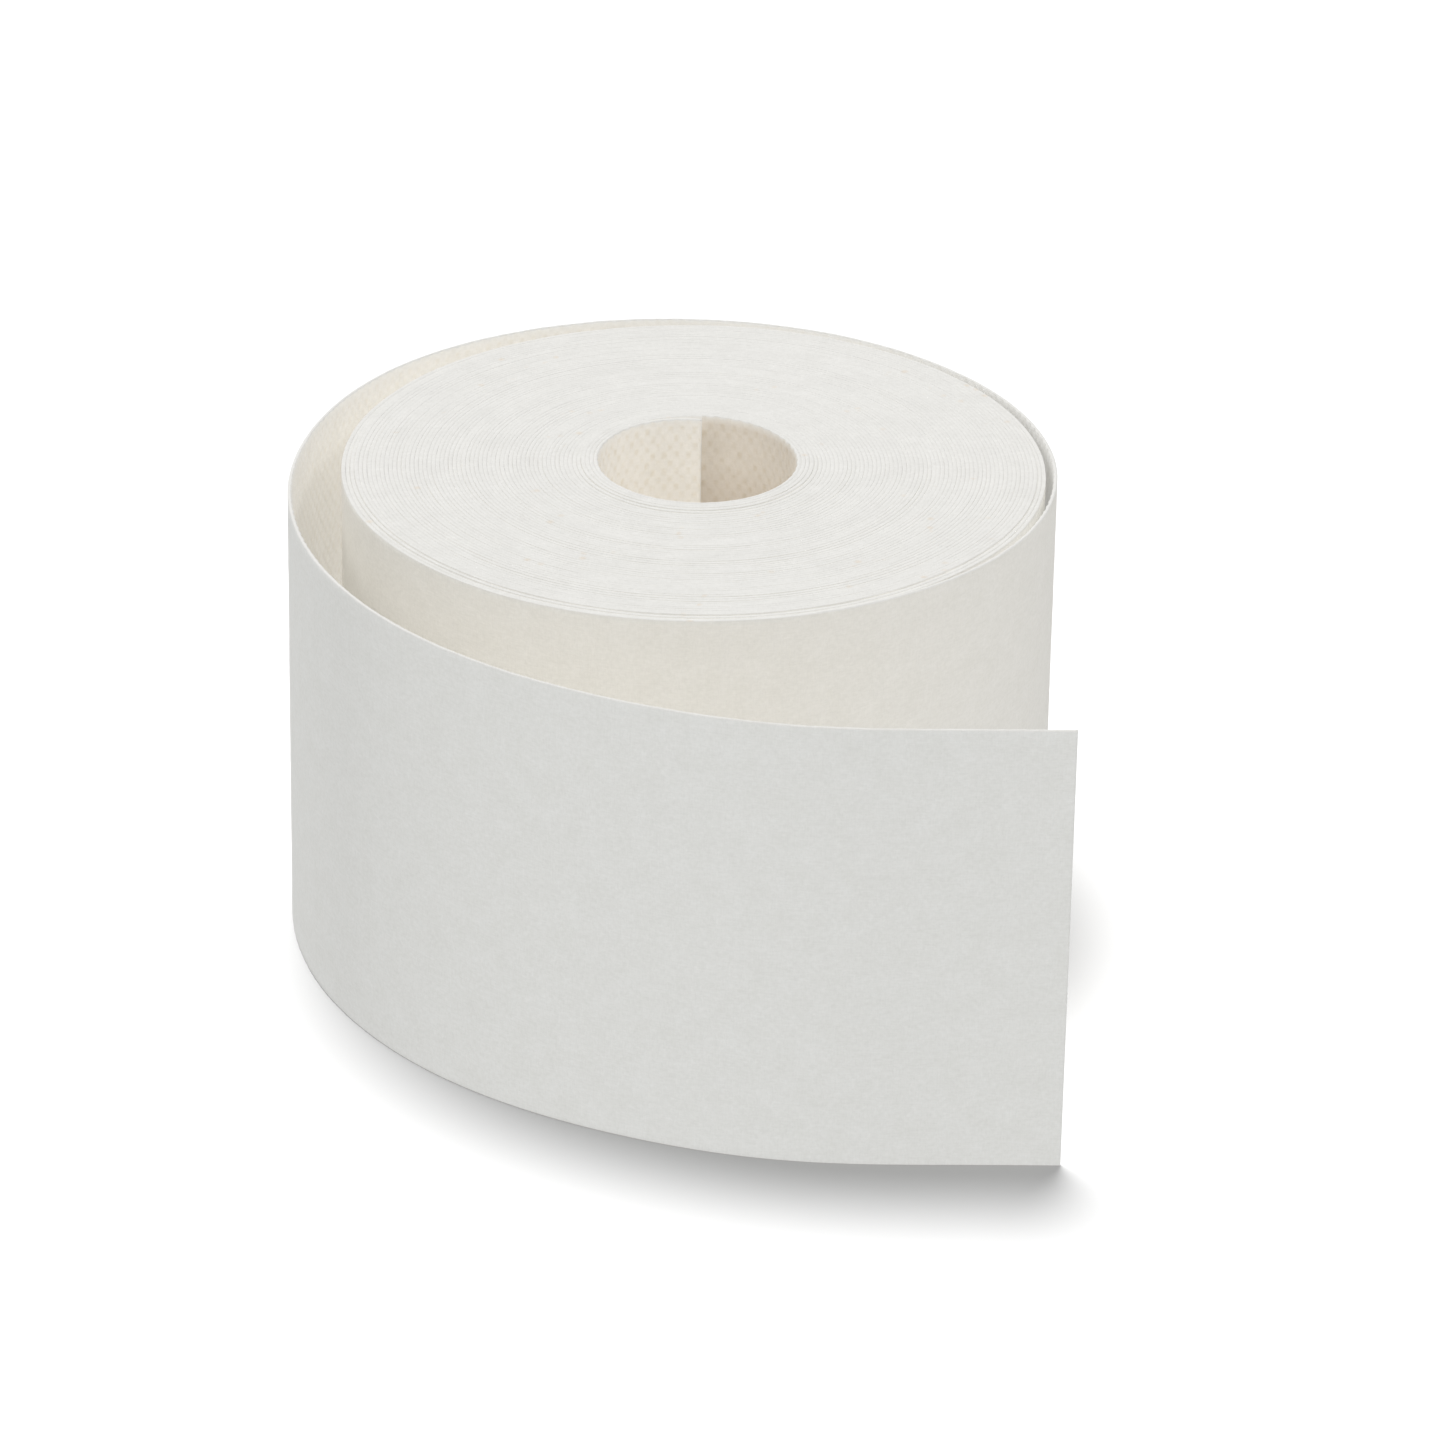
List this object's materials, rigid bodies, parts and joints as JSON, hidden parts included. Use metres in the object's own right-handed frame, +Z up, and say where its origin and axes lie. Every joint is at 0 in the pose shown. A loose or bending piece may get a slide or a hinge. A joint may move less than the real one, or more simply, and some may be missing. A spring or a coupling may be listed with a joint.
{
  "type": "nonwoven band roll",
  "caption": "Coreless roll of white nonwoven band standing on its cut edge, its outer turn sprung loose into a free tail.",
  "frame": {"origin": "on the axis of the hole, at the lower cut edge that the roll stands on", "axes": "+Z up along the axis of the hole; the free tail ends pointing towards +X, in front of the roll on the -Y side"},
  "size_m": [0.0817, 0.0995, 0.05],
  "materials": {
    "band": "soft matt nonwoven"
  },
  "bodies": {
    "coil": {"inner_end": "band", "first_turn": "band", "pressed_turns_1": "band", "pressed_turns_2": "band", "pressed_turns_3": "band", "last_tight_turn": "band"},
    "loose_turn_01": {"loose_turn_01": "band"},
    "loose_turn_02": {"loose_turn_02": "band"},
    "loose_turn_03": {"loose_turn_03": "band"},
    "loose_turn_04": {"loose_turn_04": "band"},
    "loose_turn_05": {"loose_turn_05": "band"},
    "loose_turn_06": {"loose_turn_06": "band"},
    "loose_turn_07": {"loose_turn_07": "band"},
    "loose_turn_08": {"loose_turn_08": "band"},
    "loose_turn_09": {"loose_turn_09": "band"},
    "loose_turn_10": {"loose_turn_10": "band"},
    "loose_turn_11": {"loose_turn_11": "band"},
    "loose_turn_12": {"loose_turn_12": "band"},
    "loose_turn_13": {"loose_turn_13": "band"},
    "loose_turn_14": {"loose_turn_14": "band"},
    "loose_turn_15": {"loose_turn_15": "band"},
    "loose_turn_16": {"loose_turn_16": "band"},
    "tail_01": {"tail_01": "band"},
    "tail_02": {"tail_02": "band"},
    "tail_03": {"tail_03": "band"},
    "tail_04": {"tail_04": "band"},
    "tail_05": {"tail_05": "band"},
    "tail_06": {"tail_06": "band"},
    "tail_07": {"tail_07": "band"},
    "tail_08": {"tail_08": "band"},
    "tail_09": {"tail_09": "band"},
    "tail_10": {"tail_10": "band"},
    "tail_11": {"tail_11": "band"},
    "tail_12": {"tail_12": "band"},
    "tail_13": {"tail_13": "band"},
    "tail_14": {"tail_14": "band"}
  },
  "joints": [
    {"name": "peel_01", "type": "hinge", "parent": "coil", "child": "loose_turn_01", "pos_m": [0.01256, -0.03591, 0.025], "axis": [0, 0, -1], "range_deg": [0, 6.59], "stiffness_Nm_per_rad": 0.002},
    {"name": "peel_02", "type": "hinge", "parent": "loose_turn_01", "child": "loose_turn_02", "pos_m": [0.02108, -0.03164, 0.025], "axis": [0, 0, -1], "range_deg": [0, 13.19]},
    {"name": "peel_03", "type": "hinge", "parent": "loose_turn_02", "child": "loose_turn_03", "pos_m": [0.0284, -0.02555, 0.025], "axis": [0, 0, -1], "range_deg": [0, 14.37]},
    {"name": "peel_04", "type": "hinge", "parent": "loose_turn_03", "child": "loose_turn_04", "pos_m": [0.03398, -0.01783, 0.025], "axis": [0, 0, -1], "range_deg": [0, 15.55]},
    {"name": "peel_05", "type": "hinge", "parent": "loose_turn_04", "child": "loose_turn_05", "pos_m": [0.03728, -0.0089, 0.025], "axis": [0, 0, -1], "range_deg": [0, 15.45]},
    {"name": "peel_06", "type": "hinge", "parent": "loose_turn_05", "child": "loose_turn_06", "pos_m": [0.03809, 0.00058, 0.025], "axis": [0, 0, -1], "range_deg": [0, 15.34]},
    {"name": "peel_07", "type": "hinge", "parent": "loose_turn_06", "child": "loose_turn_07", "pos_m": [0.03637, 0.00995, 0.025], "axis": [0, 0, -1], "range_deg": [0, 14.69]},
    {"name": "peel_08", "type": "hinge", "parent": "loose_turn_07", "child": "loose_turn_08", "pos_m": [0.03232, 0.01857, 0.025], "axis": [0, 0, -1], "range_deg": [0, 14.04]},
    {"name": "peel_09", "type": "hinge", "parent": "loose_turn_08", "child": "loose_turn_09", "pos_m": [0.0263, 0.02596, 0.025], "axis": [0, 0, -1], "range_deg": [0, 13.8]},
    {"name": "peel_10", "type": "hinge", "parent": "loose_turn_09", "child": "loose_turn_10", "pos_m": [0.0187, 0.0317, 0.025], "axis": [0, 0, -1], "range_deg": [0, 13.55]},
    {"name": "peel_11", "type": "hinge", "parent": "loose_turn_10", "child": "loose_turn_11", "pos_m": [0.00996, 0.0355, 0.025], "axis": [0, 0, -1], "range_deg": [0, 13.44]},
    {"name": "peel_12", "type": "hinge", "parent": "loose_turn_11", "child": "loose_turn_12", "pos_m": [0.00058, 0.03717, 0.025], "axis": [0, 0, -1], "range_deg": [0, 13.32]},
    {"name": "peel_13", "type": "hinge", "parent": "loose_turn_12", "child": "loose_turn_13", "pos_m": [-0.00893, 0.03663, 0.025], "axis": [0, 0, -1], "range_deg": [0, 13.21]},
    {"name": "peel_14", "type": "hinge", "parent": "loose_turn_13", "child": "loose_turn_14", "pos_m": [-0.01807, 0.03394, 0.025], "axis": [0, 0, -1], "range_deg": [0, 13.1]},
    {"name": "peel_15", "type": "hinge", "parent": "loose_turn_14", "child": "loose_turn_15", "pos_m": [-0.02636, 0.02924, 0.025], "axis": [0, 0, -1], "range_deg": [0, 13.77]},
    {"name": "peel_16", "type": "hinge", "parent": "loose_turn_15", "child": "loose_turn_16", "pos_m": [-0.0333, 0.02271, 0.025], "axis": [0, 0, -1], "range_deg": [0, 14.45]},
    {"name": "tail_bend_01", "type": "hinge", "parent": "loose_turn_16", "child": "tail_01", "pos_m": [-0.03838, 0.01466, 0.025], "axis": [0, 0, -1], "range_deg": [-3.19, 12.77], "stiffness_Nm_per_rad": 0.002},
    {"name": "tail_bend_02", "type": "hinge", "parent": "tail_01", "child": "tail_02", "pos_m": [-0.04157, 0.00567, 0.025], "axis": [0, 0, -1], "range_deg": [-2.79, 11.12]},
    {"name": "tail_bend_03", "type": "hinge", "parent": "tail_02", "child": "tail_03", "pos_m": [-0.04296, -0.00376, 0.025], "axis": [0, 0, -1], "range_deg": [-2.73, 10.87]},
    {"name": "tail_bend_04", "type": "hinge", "parent": "tail_03", "child": "tail_04", "pos_m": [-0.04255, -0.01329, 0.025], "axis": [0, 0, -1], "range_deg": [-2.66, 10.62]},
    {"name": "tail_bend_05", "type": "hinge", "parent": "tail_04", "child": "tail_05", "pos_m": [-0.0404, -0.02258, 0.025], "axis": [0, 0, -1], "range_deg": [-2.64, 10.52]},
    {"name": "tail_bend_06", "type": "hinge", "parent": "tail_05", "child": "tail_06", "pos_m": [-0.03659, -0.03132, 0.025], "axis": [0, 0, -1], "range_deg": [-2.61, 10.42]},
    {"name": "tail_bend_07", "type": "hinge", "parent": "tail_06", "child": "tail_07", "pos_m": [-0.03126, -0.03923, 0.025], "axis": [0, 0, -1], "range_deg": [-2.56, 10.22]},
    {"name": "tail_bend_08", "type": "hinge", "parent": "tail_07", "child": "tail_08", "pos_m": [-0.02462, -0.04608, 0.025], "axis": [0, 0, -1], "range_deg": [-2.51, 10.02]},
    {"name": "tail_bend_09", "type": "hinge", "parent": "tail_08", "child": "tail_09", "pos_m": [-0.01689, -0.05166, 0.025], "axis": [0, 0, -1], "range_deg": [-2.16, 8.62]},
    {"name": "tail_bend_10", "type": "hinge", "parent": "tail_09", "child": "tail_10", "pos_m": [-0.0084, -0.05603, 0.025], "axis": [0, 0, -1], "range_deg": [-1.81, 7.22]},
    {"name": "tail_bend_11", "type": "hinge", "parent": "tail_10", "child": "tail_11", "pos_m": [0.00056, -0.0593, 0.025], "axis": [0, 0, -1], "range_deg": [-2, 7.98]},
    {"name": "tail_bend_12", "type": "hinge", "parent": "tail_11", "child": "tail_12", "pos_m": [0.00989, -0.0613, 0.025], "axis": [0, 0, -1], "range_deg": [-2.2, 8.74]},
    {"name": "tail_bend_13", "type": "hinge", "parent": "tail_12", "child": "tail_13", "pos_m": [0.01942, -0.06185, 0.025], "axis": [0, 0, -1], "range_deg": [-1.17, 4.62]},
    {"name": "tail_bend_14", "type": "hinge", "parent": "tail_13", "child": "tail_14", "pos_m": [0.02896, -0.06165, 0.025], "axis": [0, 0, -1], "range_deg": [-0.13, 0.5]}
  ],
  "couplings": [
    {"joint": "peel_02", "follows": "peel_01", "ratio": 2},
    {"joint": "peel_03", "follows": "peel_01", "ratio": 2.179},
    {"joint": "peel_04", "follows": "peel_01", "ratio": 2.358},
    {"joint": "peel_05", "follows": "peel_01", "ratio": 2.3414},
    {"joint": "peel_06", "follows": "peel_01", "ratio": 2.3249},
    {"joint": "peel_07", "follows": "peel_01", "ratio": 2.2266},
    {"joint": "peel_08", "follows": "peel_01", "ratio": 2.1282},
    {"joint": "peel_09", "follows": "peel_01", "ratio": 2.0913},
    {"joint": "peel_10", "follows": "peel_01", "ratio": 2.0545},
    {"joint": "peel_11", "follows": "peel_01", "ratio": 2.037},
    {"joint": "peel_12", "follows": "peel_01", "ratio": 2.0195},
    {"joint": "peel_13", "follows": "peel_01", "ratio": 2.0026},
    {"joint": "peel_14", "follows": "peel_01", "ratio": 1.9856},
    {"joint": "peel_15", "follows": "peel_01", "ratio": 2.0878},
    {"joint": "peel_16", "follows": "peel_01", "ratio": 2.19},
    {"joint": "tail_bend_02", "follows": "tail_bend_01", "ratio": 0.86927},
    {"joint": "tail_bend_03", "follows": "tail_bend_01", "ratio": 0.8499},
    {"joint": "tail_bend_04", "follows": "tail_bend_01", "ratio": 0.83052},
    {"joint": "tail_bend_05", "follows": "tail_bend_01", "ratio": 0.82263},
    {"joint": "tail_bend_06", "follows": "tail_bend_01", "ratio": 0.81473},
    {"joint": "tail_bend_07", "follows": "tail_bend_01", "ratio": 0.79909},
    {"joint": "tail_bend_08", "follows": "tail_bend_01", "ratio": 0.78345},
    {"joint": "tail_bend_09", "follows": "tail_bend_01", "ratio": 0.67367},
    {"joint": "tail_bend_10", "follows": "tail_bend_01", "ratio": 0.56388},
    {"joint": "tail_bend_11", "follows": "tail_bend_01", "ratio": 0.62369},
    {"joint": "tail_bend_12", "follows": "tail_bend_01", "ratio": 0.68349},
    {"joint": "tail_bend_13", "follows": "tail_bend_01", "ratio": 0.36054},
    {"joint": "tail_bend_14", "follows": "tail_bend_01", "ratio": 0.03759}
  ]
}
